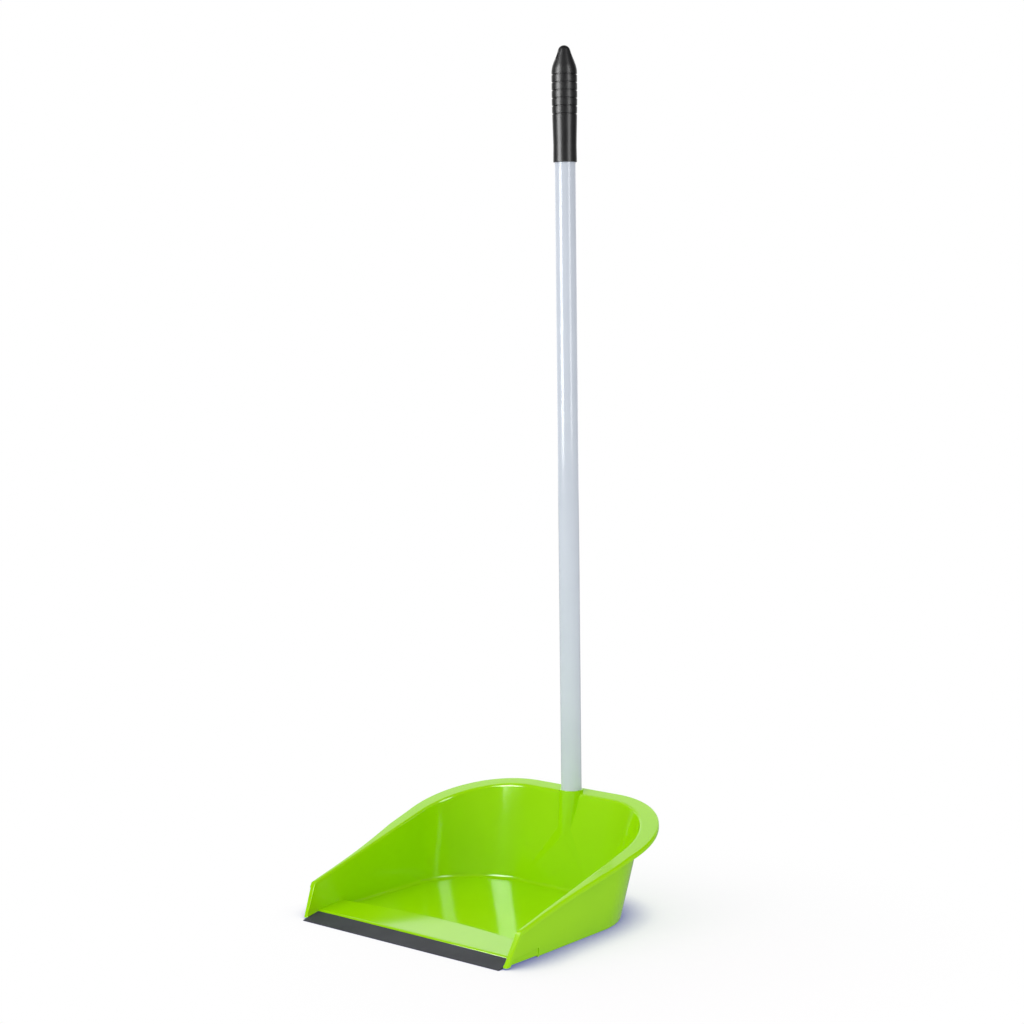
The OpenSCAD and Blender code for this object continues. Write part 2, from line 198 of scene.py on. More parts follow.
class Graph:
    """A node tree that is built through one method."""

    def __init__(self, tree: bpy.types.NodeTree) -> None:
        """Empties the tree."""
        self.tree = tree
        tree.nodes.clear()

    def node(
        self,
        kind: str,
        settings: Mapping[str, Any] | None = None,
        sockets: Mapping[Any, Any] | None = None,
    ) -> bpy.types.Node:
        """Adds a node.

        Args:
            kind: The node's type.
            settings: Its own settings, set first.
            sockets: Values or links of its sockets, by name or place.

        Returns:
            The node.
        """
        made = self.tree.nodes.new(kind)
        for name, setting in (settings or {}).items():
            setattr(made, name, setting)
        for key, value in (sockets or {}).items():
            if isinstance(value, Value):
                self.tree.links.new(value.socket, made.inputs[key])
            else:
                made.inputs[key].default_value = value
        return made

    def out(self, node: bpy.types.Node, key: Any = 0) -> Value:
        """One output of a node as a value."""
        return Value(self, node.outputs[key])

    def place(self, scale: Sequence[float] = (1, 1, 1), turn: Sequence[float] = (0, 0, 0)) -> Value:
        """Object coordinates, scaled and turned by a Mapping node.

        Args:
            scale: Scale along each axis.
            turn: Turn about each axis, in radians.

        Returns:
            The coordinates.
        """
        source = self.out(self.node("ShaderNodeTexCoord"), "Object")
        sockets = {"Vector": source, "Scale": scale, "Rotation": turn}
        return self.out(self.node("ShaderNodeMapping", None, sockets))

    def noise(self, where: Value, scale: float, detail: float = 2.0, roughness: float = 0.5) -> Value:
        """Fractal noise between zero and one.

        Args:
            where: The coordinates.
            scale: Waves for each unit of length.
            detail: Octaves.
            roughness: Strength of the finer octaves.

        Returns:
            The noise.
        """
        sockets = {"Vector": where, "Scale": scale, "Detail": detail, "Roughness": roughness}
        return self.out(self.node("ShaderNodeTexNoise", None, sockets))

    def blend(self, share: Number, first: Any, second: Any) -> Value:
        """Mixes two colours.

        Args:
            share: Share of the second.
            first: A colour or its link.
            second: A colour or its link.

        Returns:
            The mixed colour.
        """
        sockets = {MIX_SHARE: share, MIX_FIRST: opaque(first), MIX_SECOND: opaque(second)}
        return self.out(self.node("ShaderNodeMix", {"data_type": "RGBA"}, sockets), MIX_COLOR)

    def product(self, first: Value, second: Value) -> Value:
        """Multiplies two colours.

        Args:
            first: The link of one colour.
            second: The link of the other.

        Returns:
            The product.
        """
        settings = {"data_type": "RGBA", "blend_type": "MULTIPLY"}
        sockets = {MIX_SHARE: 1.0, MIX_FIRST: first, MIX_SECOND: second}
        return self.out(self.node("ShaderNodeMix", settings, sockets), MIX_COLOR)

    def rays(self) -> tuple[Value, Value]:
        """Tells rays from the camera, and mirrored rays, from all others.

        Returns:
            Whether a ray comes from the camera, and whether it has been mirrored.
        """
        path = self.node("ShaderNodeLightPath")
        seen = self.out(path, "Is Camera Ray").at_least(self.out(path, "Is Transmission Ray"))
        return seen, self.out(path, "Is Glossy Ray")


def opaque(color: Any) -> Any:
    """A colour with full alpha, or a link as it is."""
    return color if isinstance(color, Value) else (*color, 1.0)


@dataclass(frozen=True)
class Finish:
    """A moulded, coated or rubbery surface."""

    slot: str
    light: Color
    dark: Color
    gloss_low: float
    gloss_high: float
    patch_scale: float
    grain_scale: float
    grain_depth: float
    marks: Marks
    mark_scale: float
    mark_share: float
    mark_tone: Color
    ior: float = 1.46

    def _marks(self, graph: Graph) -> Value:
        """Where the surface carries its marks.

        Args:
            graph: The material's graph.

        Returns:
            A mask between zero and one.
        """
        if self.marks is Marks.SCUFFS:
            first, second = (
                graph.noise(graph.place(stretch, turn), self.mark_scale, SCUFF_DETAIL).eased(*span)
                for stretch, turn, span in SCUFF_LINES
            )
            gate = graph.noise(graph.place(), self.patch_scale * GATE_SCALE).eased(*GATE_RANGE)
            return (first + second) * gate
        if self.marks is Marks.STREAKS:
            where = graph.place(STREAK_STRETCH)
            return graph.noise(where, self.mark_scale, STREAK_DETAIL).eased(*STREAK_RANGE)
        return graph.noise(graph.place(), self.mark_scale).eased(*SPECK_RANGE)

    def material(self) -> bpy.types.Material:
        """Builds the finish.

        Returns:
            The material.
        """
        made = bpy.data.materials.new(self.slot)
        made.use_nodes = True
        graph = Graph(made.node_tree)
        patches = graph.noise(graph.place(), self.patch_scale, PATCH_DETAIL, PATCH_ROUGHNESS)
        grain = graph.noise(graph.place(), self.grain_scale, GRAIN_DETAIL, GRAIN_ROUGHNESS)
        marks = self._marks(graph) * self.mark_share
        tone = graph.blend(patches.eased(*PATCH_RANGE), self.dark, self.light)
        color = graph.blend(marks, tone, self.mark_tone)
        spread = self.gloss_high - self.gloss_low
        gloss = patches * spread + marks * (MARK_DULLING * spread) + self.gloss_low
        relief = {"Strength": 1.0, "Distance": self.grain_depth, "Height": grain + marks}
        bump = graph.out(graph.node("ShaderNodeBump", None, relief))
        surface = {"Base Color": color, "Roughness": gloss, "IOR": self.ior, "Normal": bump}
        shader = graph.node("ShaderNodeBsdfPrincipled", None, surface)
        graph.node("ShaderNodeOutputMaterial", None, {"Surface": graph.out(shader)})
        return made


PAN_PLASTIC = Finish(
    slot="pan_plastic",
    light=(0.375, 0.785, 0.0),
    dark=(0.345, 0.75, 0.0),
    gloss_low=0.08,
    gloss_high=0.15,
    patch_scale=9.0,
    grain_scale=420.0,
    grain_depth=0.00001,
    marks=Marks.SCUFFS,
    mark_scale=260.0,
    mark_share=0.35,
    mark_tone=(0.45, 0.83, 0.0),
    ior=1.52,
)
LIP_RUBBER = Finish(
    slot="lip_rubber",
    light=(0.056, 0.059, 0.068),
    dark=(0.042, 0.044, 0.052),
    gloss_low=0.5,
    gloss_high=0.62,
    patch_scale=24.0,
    grain_scale=900.0,
    grain_depth=0.00004,
    marks=Marks.SPECKS,
    mark_scale=700.0,
    mark_share=0.3,
    mark_tone=(0.10, 0.10, 0.105),
    ior=1.28,
)
TUBE_COATING = Finish(
    slot="tube_coating",
    light=(0.67, 0.72, 0.80),
    dark=(0.64, 0.69, 0.77),
    gloss_low=0.11,
    gloss_high=0.16,
    patch_scale=14.0,
    grain_scale=1200.0,
    grain_depth=0.00001,
    marks=Marks.STREAKS,
    mark_scale=260.0,
    mark_share=0.25,
    mark_tone=(0.71, 0.76, 0.83),
    ior=1.36,
)
PLUG_PLASTIC = Finish(
    slot="plug_plastic",
    light=(0.030, 0.030, 0.032),
    dark=(0.020, 0.020, 0.022),
    gloss_low=0.45,
    gloss_high=0.6,
    patch_scale=60.0,
    grain_scale=1500.0,
    grain_depth=0.00003,
    marks=Marks.SPECKS,
    mark_scale=900.0,
    mark_share=0.2,
    mark_tone=(0.06, 0.06, 0.06),
)
GRIP_PLASTIC = Finish(
    slot="grip_plastic",
    light=(0.020, 0.020, 0.021),
    dark=(0.014, 0.014, 0.015),
    gloss_low=0.30,
    gloss_high=0.40,
    patch_scale=40.0,
    grain_scale=1400.0,
    grain_depth=0.00002,
    marks=Marks.SPECKS,
    mark_scale=800.0,
    mark_share=0.25,
    mark_tone=(0.05, 0.05, 0.05),
    ior=1.42,
)


def sweep(
    sections: Sequence[Sequence[Vector]], closed: bool = True
) -> tuple[BMesh, list[Ring]]:
    """Carries a chain of points through its places by extruding its edges.

    Args:
        sections: The chain's places, each with the same number of points.
        closed: Whether the chain's ends are joined.

    Returns:
        The mesh and the vertices of each section.
    """
    mesh = bmesh.new()
    ring = [mesh.verts.new(p) for p in sections[0]]
    pairs = list(zip(ring, ring[1:]))
    if closed:
        pairs.append((ring[-1], ring[0]))
    edges = [mesh.edges.new(pair) for pair in pairs]
    rings = [ring]
    for before, after in zip(sections, sections[1:]):
        made = bmesh.ops.extrude_edge_only(mesh, edges=edges)["geom"]
        fresh = [g for g in made if isinstance(g, BMVert)]
        edges = [g for g in made if isinstance(g, BMEdge)]
        ring = [min(fresh, key=lambda v, p=place: (v.co - p).length_squared) for place in before]
        for vert, target in zip(ring, after):
            vert.co = target
        rings.append(ring)
    return mesh, rings


def cover(mesh: BMesh, ring: Ring) -> None:
    """Fills a loop of vertices with a face, adding the edges that it lacks.

    Args:
        mesh: The mesh.
        ring: The loop.
    """
    pairs = zip(ring, ring[1:] + ring[:1])
    edges = [mesh.edges.get(pair) or mesh.edges.new(pair) for pair in pairs]
    bmesh.ops.edgeloop_fill(mesh, edges=edges)


def along(mesh: BMesh, rings: list[Ring], place: int) -> list[BMEdge]:
    """The edges that one point of a swept chain has drawn."""
    return [mesh.edges.get((a[place], b[place])) for a, b in zip(rings, rings[1:])]


def soften(
    mesh: BMesh,
    edges: Sequence[BMEdge],
    radius: float,
    steps: int = ROUND_STEPS,
) -> None:
    """Rounds edges.

    Args:
        mesh: The mesh.
        edges: The edges to round.
        radius: How far the rounding reaches.
        steps: Its segments.
    """
    bmesh.ops.bevel(
        mesh,
        geom=list(edges),
        offset=radius,
        offset_type="OFFSET",
        affect="EDGES",
        segments=steps,
        profile=0.5,
        material=-1,
        clamp_overlap=True,
    )


def orient(mesh: BMesh) -> None:
    """Welds doubles and turns all faces outwards."""
    bmesh.ops.remove_doubles(mesh, verts=mesh.verts[:], dist=WELD)
    bmesh.ops.recalc_face_normals(mesh, faces=mesh.faces[:])


def loft(
    sections: Sequence[Sequence[Vector]], radii: Sequence[float] = (), steps: int = ROUND_STEPS
) -> BMesh:
    """A closed solid through sections of one outline.

    Args:
        sections: The outline's places.
        radii: Rounding in mm of the edges that the outline's points draw, in their order.
        steps: Segments of the rounding.

    Returns:
        The mesh.
    """
    mesh, rings = sweep(sections)
    cover(mesh, rings[0])
    cover(mesh, rings[-1])
    orient(mesh)
    for place, radius in enumerate(radii):
        if radius:
            soften(mesh, along(mesh, rings, place), radius * MM, steps)
    return mesh


def doubled(mesh: BMesh) -> BMesh:
    """Adds a mesh's mirror image on the other side of the pan.

    Args:
        mesh: The mesh that is changed.

    Returns:
        The same mesh.
    """
    geometry = mesh.verts[:] + mesh.edges[:] + mesh.faces[:]
    bmesh.ops.mirror(mesh, geom=geometry, axis="X", merge_dist=WELD)
    orient(mesh)
    return mesh


def turned(
    outline: Sequence[tuple[float, float]],
    centre: Vector,
    closed: bool,
    rounds: Sequence[tuple[float, float, float]] = (),
) -> BMesh:
    """Spins an outline about an upright axis.

    Args:
        outline: Radius and height of its points, in mm.
        centre: A point of the axis.
        closed: Whether the outline's ends are joined; otherwise they lie on the axis.
        rounds: Radius and height of circles to round, with the rounding's reach, in mm.

    Returns:
        The mesh.
    """
    mesh = bmesh.new()
    verts = [mesh.verts.new((centre.x + r * MM, centre.y, h * MM)) for r, h in outline]
    pairs = list(zip(verts, verts[1:]))
    if closed:
        pairs.append((verts[-1], verts[0]))
    edges = [mesh.edges.new(pair) for pair in pairs]
    bmesh.ops.spin(
        mesh,
        geom=verts + edges,
        cent=centre,
        axis=(0, 0, 1),
        angle=math.tau,
        steps=TURN_STEPS,
        use_merge=True,
        use_duplicate=False,
    )
    orient(mesh)
    for radius, height, reach in rounds:
        soften(mesh, circle_edges(mesh, centre, radius * MM, height * MM), reach * MM)
    return mesh


def circle_edges(
    mesh: BMesh, centre: Vector, radius: float, height: float
) -> list[BMEdge]:
    """The edges of one circle of a turned mesh.

    Args:
        mesh: The mesh.
        centre: A point of its axis.
        radius: The circle's radius.
        height: The circle's height.

    Returns:
        The edges.
    """
    hit = {
        v
        for v in mesh.verts
        if abs(v.co.z - height) < SLACK and abs((v.co - centre).xy.length - radius) < SLACK
    }
    return [e for e in mesh.edges if e.verts[0] in hit and e.verts[1] in hit]


def rod(radius: float, start: Vector, end: Vector, steps: int = ROD_STEPS) -> BMesh:
    """A round bar between two points.

    Args:
        radius: Its radius.
        start: Middle of one end.
        end: Middle of the other.
        steps: Its sides.

    Returns:
        The mesh.
    """
    mesh = bmesh.new()
    bmesh.ops.create_cone(
        mesh,
        cap_ends=True,
        segments=steps,
        radius1=radius,
        radius2=radius,
        depth=(end - start).length,
    )
    turn = (end - start).to_track_quat("Z", "Y").to_matrix().to_4x4()
    shift = Matrix.Translation((start + end) / 2)
    bmesh.ops.transform(mesh, matrix=shift @ turn, verts=mesh.verts[:])
    return mesh


def solid(name: str, mesh: BMesh) -> Object:
    """Makes an object of a mesh.

    Args:
        name: The object's name.
        mesh: The mesh, which is freed.

    Returns:
        The object.
    """
    data = bpy.data.meshes.new(name)
    mesh.to_mesh(data)
    mesh.free()
    made = bpy.data.objects.new(name, data)
    bpy.context.scene.collection.objects.link(made)
    return made


def combine(base: Object, tool: Object, how: Join) -> None:
    """Joins a solid to another, or cuts it out, and removes the tool.

    Args:
        base: The solid that is changed.
        tool: The other solid.
        how: The way of joining.
    """
    step = base.modifiers.new("combine", "BOOLEAN")
    step.operation = how.value
    step.solver = "EXACT"
    step.object = tool
    shown = base.evaluated_get(bpy.context.evaluated_depsgraph_get())
    data = bpy.data.meshes.new_from_object(shown)
    base.modifiers.clear()
    old = base.data
    base.data = data
    bpy.data.meshes.remove(old)
    data.name = base.name
    bpy.data.objects.remove(tool)


def clear_slivers(data: bpy.types.Mesh) -> None:
    """Removes the edges and faces without size that cuts leave behind.

    Args:
        data: The mesh that is cleaned.
    """
    mesh = bmesh.new()
    mesh.from_mesh(data)
    bmesh.ops.dissolve_degenerate(mesh, dist=SLIVER, edges=mesh.edges[:])
    bmesh.ops.triangulate(mesh, faces=[f for f in mesh.faces if len(f.verts) > 4])
    bmesh.ops.dissolve_degenerate(mesh, dist=SLIVER, edges=mesh.edges[:])
    orient(mesh)
    mesh.to_mesh(data)
    mesh.free()


def dress(piece: Object, finish: Finish, body: Body, node: str) -> None:
    """Smooths a piece, gives it its finish and sets it on its body in place of its node.

    Args:
        piece: The piece.
        finish: Its finish.
        body: The body that it moves with.
        node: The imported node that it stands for.
    """
    data = piece.data
    clear_slivers(data)
    data.shade_smooth()
    data.set_sharp_from_angle(angle=SHARP_ANGLE)
    step = piece.modifiers.new("normals", "WEIGHTED_NORMAL")
    step.keep_sharp = True
    data.materials.clear()
    data.materials.append(finish.material())
    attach(piece, body.value)
    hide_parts(node)
    LOG.info("%s: %d faces on %s", piece.name, len(data.polygons), body.value)


@dataclass(frozen=True)
class Station:
    """One upright section of the pan's wall, in mm."""

    foot: Vector
    run: Vector
    outward: Vector
    flange: float
    slant: float

    def mirrored(self) -> Station:
        """The same section on the other side."""
        return Station(flip(self.foot), flip(self.run), flip(self.outward), self.flange, self.slant)


def flip(v: Vector) -> Vector:
    """A plan vector mirrored across the pan's middle."""
    return Vector((-v.x, v.y))


@dataclass
class Pan:
    """The moulded pan: tray, turned rim, edging, ramp, lip channel and handle socket. Sizes in mm."""

    edge_y: float
    width_front: float = 271.0
    width_rear: float = 264.4
    depth: float = 247.2
    foot_r: float = 85.0
    wall_front_d: float = 5.2
    wall_t: float = 2.2
    floor_t: float = 2.2
    crease_r: float = 3.4
    foot_round: float = 1.4
    rim_round: float = 2.6
    skirt_rounds: tuple[float, ...] = (1.2, 0.6, 0.5, 0.6)
    flange_round: float = 1.9
    wall_round_steps: int = 4
    side_lean: float = 0.104
    rear_lean: float = 0.283
    corner_grow: float = 0.02
    front_slant: float = 0.5
    rim_front_h: float = 35.0
    rim_slope: float = 0.265
    flange_front: float = 4.0
    flange_end: float = 3.5
    corner_r: float = 7.5
    corner_lift: float = 0.08
    corner_arc_steps: int = 12
    flange_corner: float = 17.9
    flange_rear: float = 13.0
    flange_turn: float = 26.0
    flange_ease: float = 1.5
    flange_t: float = 2.0
    skirt_h: float = 5.2
    skirt_t: float = 1.6
    edging_foot_h: float = 1.6
    edging_foot_w: float = 2.4
    edging_drop: float = 1.2
    edging_proud: float = 0.08
    edging_rounds: tuple[float, ...] = (0.8, 1.3, 0.5, 0.5)
    crest_d: float = 69.2
    crest_bow: float = 11.0
    crest_h: float = 9.7
    crest_round: float = 0.9
    crest_under_round: float = 0.8
    ramp_t: float = 2.0
    nose_steps: int = 24
    room_w: float = 266.0
    room_h: float = 5.6
    wall_cut_h: float = 6.0
    wall_cut_rise: float = 0.058
    cheek_h: float = 1.8
    channel_w: float = 240.8
    bore_w: float = 238.2
    bead_d: float = 25.0
    bead_h: float = 3.9
    bead_bore: float = 1.65
    channel_r: float = 2.95
    channel_inset: float = 0.06
    slot_h: float = 2.7
    handle_d: float = 276.6
    socket_h: float = 105.5
    socket_depth: float = 60.0
    socket_r: float = 12.65
    socket_foot_r: float = 16.65
    socket_floor_t: float = 3.0
    socket_bore: float = 11.05
    socket_foot_round: float = 1.2
    socket_top_round: float = 0.5
    rib_t: float = 3.0
    rib_foot_h: float = 14.0
    side_steps: int = 14
    corner_steps: int = 44
    ramp_steps: int = 36
    seam: float = 0.2
    overrun: float = 1.0

    def __post_init__(self) -> None:
        """Works out the sizes that follow from the others."""
        self.half_front = self.width_front / 2
        self.half_rear = self.width_rear / 2
        self.corner_x = self.half_rear - self.foot_r
        self.corner_d = self.depth - self.foot_r
        self.taper = (self.half_front - self.half_rear) / (self.corner_d - self.wall_front_d)
        self.back_drift = self.rear_lean - self.corner_grow
        self.side_drift = self.side_lean - self.corner_grow - self.taper * self.back_drift
        self.rim_front_d = self.wall_front_d + self.front_slant * self.rim_front_h
        self.side_run = self.corner_d - self.rim_front_d
        self.widen_run = self.side_run + self.foot_r * math.radians(self.flange_turn)
        self.ramp_half = self.half_front - self.wall_t / 2
        self.bow_r = (self.ramp_half**2 + self.crest_bow**2) / (2 * self.crest_bow)
        self.socket_foot_h = self.socket_h - self.socket_depth - self.socket_floor_t

    def point(self, x: float, d: float, h: float) -> Vector:
        """A place given across the pan, back from the lip's edge and up, in the shared frame."""
        return Vector((x * MM, self.edge_y + d * MM, h * MM))

    def widened(self, run: float) -> float:
        """Width of the flange at a run along the foot from the rim's front end."""
        grown = (1 - math.cos(math.pi * (run / self.widen_run) ** self.flange_ease)) / 2
        return self.flange_front + (self.flange_corner - self.flange_front) * grown

    def narrowed(self, share: float) -> float:
        """Width of the flange at a share of the way from its widest place to the rear."""
        left = (1 + math.cos(math.pi * share)) / 2
        return self.flange_rear + (self.flange_corner - self.flange_rear) * left

    def front_station(self) -> Station:
        """The slanted front end of the right wall.

        Returns:
            The section.
        """
        drift = self.side_lean - self.taper * self.front_slant
        return Station(
            Vector((self.half_front, self.wall_front_d)),
            Vector((drift, self.front_slant)),
            Vector((1, 0)),
            self.flange_end,
            self.front_slant,
        )

    def side_station(self, d: float) -> Station:
        """A section of the straight right wall.

        Args:
            d: Its distance back from the lip's edge.

        Returns:
            The section.
        """
        x = self.half_front - self.taper * (d - self.wall_front_d)
        flange = self.widened(d - self.rim_front_d)
        return Station(Vector((x, d)), Vector((self.side_lean, 0)), Vector((1, 0)), flange, 0.0)

    def corner_station(self, angle: float) -> Station:
        """A section of the right rear corner.

        Args:
            angle: Its angle in degrees.

        Returns:
            The section.
        """
        a = math.radians(angle)
        out = Vector((math.cos(a), math.sin(a)))
        if angle < self.flange_turn:
            flange = self.widened(self.side_run + self.foot_r * a)
        else:
            flange = self.narrowed((angle - self.flange_turn) / (QUARTER - self.flange_turn))
        foot = Vector((self.corner_x, self.corner_d)) + self.foot_r * out
        run = Vector((self.side_drift, self.back_drift)) + self.corner_grow * out
        return Station(foot, run, out, flange, 0.0)

    def stations(self) -> list[Station]:
        """All sections, from the right front round the rear to the left front.

        Returns:
            The sections.
        """
        runs = [self.side_run * k / self.side_steps for k in range(1, self.side_steps)]
        turns = [QUARTER * k / self.corner_steps for k in range(self.corner_steps + 1)]
        sides = [self.side_station(self.rim_front_d + run) for run in runs]
        right = [self.front_station(), *sides, *(self.corner_station(turn) for turn in turns)]
        return right + [s.mirrored() for s in reversed(right)]

    def rim_h(self, d: float) -> float:
        """Height of the rim's plane."""
        return self.rim_front_h + self.rim_slope * (d - self.rim_front_d)

    def meet_h(self, s: Station, drop: float) -> float:
        """Height at which a wall meets the rim's plane lowered by drop."""
        return (self.rim_h(s.foot.y) - drop) / (1 - self.rim_slope * s.run.y)

    def wall_at(self, s: Station, h: float, inset: float) -> Vector:
        """A place on a wall, inset from its outside."""
        p = s.foot + s.run * h - s.outward * inset
        return Vector((p.x, p.y, h))

    def rim_at(self, s: Station, out: float, drop: float = 0.0) -> Vector:
        """A place on the rim, out from the wall and lowered in the section's own plane.

        Args:
            s: The section's station.
            out: Distance out from the wall's outside.
            drop: Distance below the rim's plane.

        Returns:
            The place across, back and up.
        """
        w = self.wall_at(s, self.meet_h(s, 0.0), -out)
        fall = drop / (1 - self.rim_slope * s.slant)
        return Vector((w.x, w.y - s.slant * fall, self.rim_h(w.y) - fall))

    def section(self, s: Station) -> list[Vector]:
        """The corners of the wall and its flange at one section.

        Args:
            s: The section's station.

        Returns:
            The corners, from the foot round the flange to the crease.
        """
        inner = s.flange - self.skirt_t
        places = [
            self.wall_at(s, 0.0, 0.0),
            self.wall_at(s, self.meet_h(s, self.flange_t), 0.0),
            self.rim_at(s, inner, self.flange_t),
            self.rim_at(s, inner, self.skirt_h),
            self.rim_at(s, s.flange, self.skirt_h),
            self.rim_at(s, s.flange),
            self.rim_at(s, -self.wall_t),
            self.wall_at(s, self.floor_t, self.wall_t),
        ]
        return [self.point(*p) for p in places]

    def tray(self) -> Object:
        """The walls with their flange, closed by the floor.

        Returns:
            The solid.
        """
        mesh, rings = sweep([self.section(s) for s in self.stations()], closed=False)
        first, last = rings[0], rings[-1]
        cover(mesh, first)
        cover(mesh, last)
        cover(mesh, [r[0] for r in rings])
        cover(mesh, [r[-1] for r in rings])
        cover(mesh, [first[0], last[0], last[-1], first[-1]])
        orient(mesh)
        upper = (self.flange_round, self.rim_round)
        for place, radius in enumerate((self.foot_round, *self.skirt_rounds, *upper, self.crease_r)):
            soften(mesh, along(mesh, rings, place), radius * MM, self.wall_round_steps)
        return solid("pan", mesh)

    def bow_d(self, x: float, less: float = 0.0) -> float:
        """Depth of the crest's bow at a place across the pan, on a radius made smaller."""
        return self.crest_d - self.bow_r + math.sqrt((self.bow_r - less) ** 2 - x**2)

    def across(self, half: float) -> list[float]:
        """Places across the pan."""
        return [half * (2 * k / self.ramp_steps - 1) for k in range(self.ramp_steps + 1)]

    def room(self, name: str, places: Sequence[float], low: float, rise: float) -> Object:
        """A room in front of the crest's bow with a rising ceiling.

        Args:
            name: The object's name.
            places: Places across the pan that it runs through.
            low: Height of its ceiling at the front.
            rise: Rise of the ceiling for each unit of depth.

        Returns:
            The solid.
        """
        start = -self.overrun
        sections = []
        for x in places:
            d = self.bow_d(x, self.ramp_t / 2)
            outline = ((start, start), (d, start), (d, low + rise * (d - start)), (start, low))
            sections.append([self.point(x, *p) for p in outline])
        return solid(name, loft(sections))

    def bar(
        self,
        name: str,
        outline: Sequence[Sequence[float]],
        half: float,
        radii: Sequence[float] = (),
        steps: int = ROUND_STEPS,
    ) -> Object:
        """A bar across the middle of the pan with one outline all along.

        Args:
            name: The object's name.
            outline: Depth and height of its corners.
            half: Half its length.
            radii: Rounding of the edges along it, in the order of its corners.
            steps: Segments of the rounding.

        Returns:
            The solid.
        """
        sections = [[self.point(x, *p) for p in outline] for x in (-half, half)]
        return solid(name, loft(sections, radii, steps))

    def hollows(self) -> list[Object]:
        """The rooms under the ramp and around the lip, and the higher cuts in both walls' outsides.

        Returns:
            The solids to cut away.
        """
        end, cut = self.half_front + self.flange_corner, (self.wall_cut_h, self.wall_cut_rise)
        rise = (self.crest_h - self.ramp_t - self.room_h) / (self.crest_d + 2 * self.overrun)
        return [
            self.room("hollow", self.across(end), self.cheek_h, 0.0),
            self.room("lip_room", self.across(self.room_w / 2), self.room_h, rise),
            self.room("cut_right", (self.ramp_half, end), *cut),
            self.room("cut_left", (-end, -self.ramp_half), *cut),
        ]

    def nose(self) -> Object:
        """The rounded front of the ramp, around the upper part of the channel.

        Returns:
            The solid.
        """
        r = self.channel_r
        start = math.asin((r - self.ramp_t - self.seam) / r)
        share = (math.pi - 2 * start) / self.nose_steps
        turns = [start + share * k for k in range(self.nose_steps + 1)]
        outline = [(self.bead_d + r * math.cos(a), self.bead_h + r * math.sin(a)) for a in turns]
        return self.bar("nose", outline, self.ramp_half - self.seam / 2)

    def ramp(self) -> Object:
        """The ramp with its bowed step down to the floor.

        Returns:
            The solid.
        """
        low = self.bead_h + self.channel_r - self.channel_inset
        rise = (self.crest_h - low) / (self.crest_d + self.overrun - self.bead_d)
        sections = []
        for x in self.across(self.ramp_half):
            d = self.bow_d(x)
            top = low + rise * (d - self.bead_d)
            inner = d - self.ramp_t
            under = low + rise * (inner - self.bead_d) - self.ramp_t
            outline = (
                (self.bead_d, low),
                (d, top),
                (d, 0.0),
                (inner, 0.0),
                (inner, under),
                (self.bead_d, low - self.ramp_t),
            )
            sections.append([self.point(x, *p) for p in outline])
        return solid("ramp", loft(sections, (0, self.crest_round, 0, 0, self.crest_under_round)))

    def edging(self) -> Object:
        """The turned edges down the fronts of both side walls.

        Returns:
            The solid.
        """
        s = self.front_station()
        norm = math.sqrt(1 + self.front_slant**2)
        steep = norm / (1 - self.rim_slope * self.front_slant)
        top = self.rim_front_h - self.edging_drop
        hidden = -self.wall_t - self.edging_proud
        ends = (
            (self.edging_foot_h, self.edging_foot_w, norm, 0.0),
            (top, self.flange_front, steep, steep * self.rim_slope),
        )
        sections = []
        for h, w, back, up in ends:
            inner = w - self.skirt_t
            outline = (
                (hidden, -self.seam),
                (w, -self.seam),
                (w, self.skirt_h),
                (inner, self.skirt_h),
                (inner, self.flange_t),
                (hidden, self.flange_t),
            )
            ring = []
            for out, depth in outline:
                p = self.wall_at(s, h, -out)
                ring.append(self.point(p.x, p.y + back * depth, p.z + up * depth))
            sections.append(ring)
        return solid("edging", doubled(loft(sections, self.edging_rounds)))

    def corner_waste(self) -> Object:
        """What lies outside the rounded corners between the rim and the fronts of the side walls.

        Returns:
            The solid to cut away.
        """
        front = Vector((self.front_slant, 1.0)).normalized()
        back = Vector((1.0, self.rim_slope)).normalized()
        d = self.rim_front_d - self.seam / front.y / (1 - self.rim_slope * self.front_slant)
        corner = Vector((d, self.rim_h(d) + self.corner_lift))
        turn = front.angle(back)
        start = corner - front * self.corner_r * math.tan(turn / 2)
        centre = start + Vector((front.y, -front.x)) * self.corner_r
        steps = self.corner_arc_steps
        turns = [Matrix.Rotation(-turn * k / steps, 2) for k in range(steps + 1)]
        arc = [centre + turned_by @ (start - centre) for turned_by in turns]
        ahead, above = (Vector((-way.y, way.x)) * self.corner_r / 2 for way in (front, back))
        outline = [*arc, arc[-1] + above, corner + ahead + above, start + ahead]
        ends = (self.half_front - self.corner_r, self.half_front + 2 * self.corner_r)
        sections = [[self.point(x, *p) for p in outline] for x in ends]
        return solid("corner_waste", doubled(loft(sections)))

    def socket(self) -> Object:
        """The tapered boss that the handle is pushed into.

        Returns:
            The solid.
        """
        foot, top = (self.socket_foot_r, self.socket_foot_h), (self.socket_r, self.socket_h)
        outline = ((0.0, foot[1]), foot, top, (0.0, top[1]))
        rounds = ((*foot, self.socket_foot_round), (*top, self.socket_top_round))
        return solid("socket", turned(outline, self.point(0.0, self.handle_d, 0.0), False, rounds))

    def rib(self) -> Object:
        """The upright rib between the socket and the rear wall.

        Returns:
            The solid.
        """
        top = self.socket_foot_h + self.socket_depth / 2
        outline = (
            (self.depth + self.rear_lean * self.rib_foot_h - self.wall_t / 2, self.rib_foot_h),
            (self.handle_d, self.socket_foot_h + self.socket_floor_t / 2),
            (self.handle_d, top),
            (self.depth + self.rear_lean * top - self.wall_t / 2, top),
        )
        return self.bar("rib", outline, self.rib_t / 2)

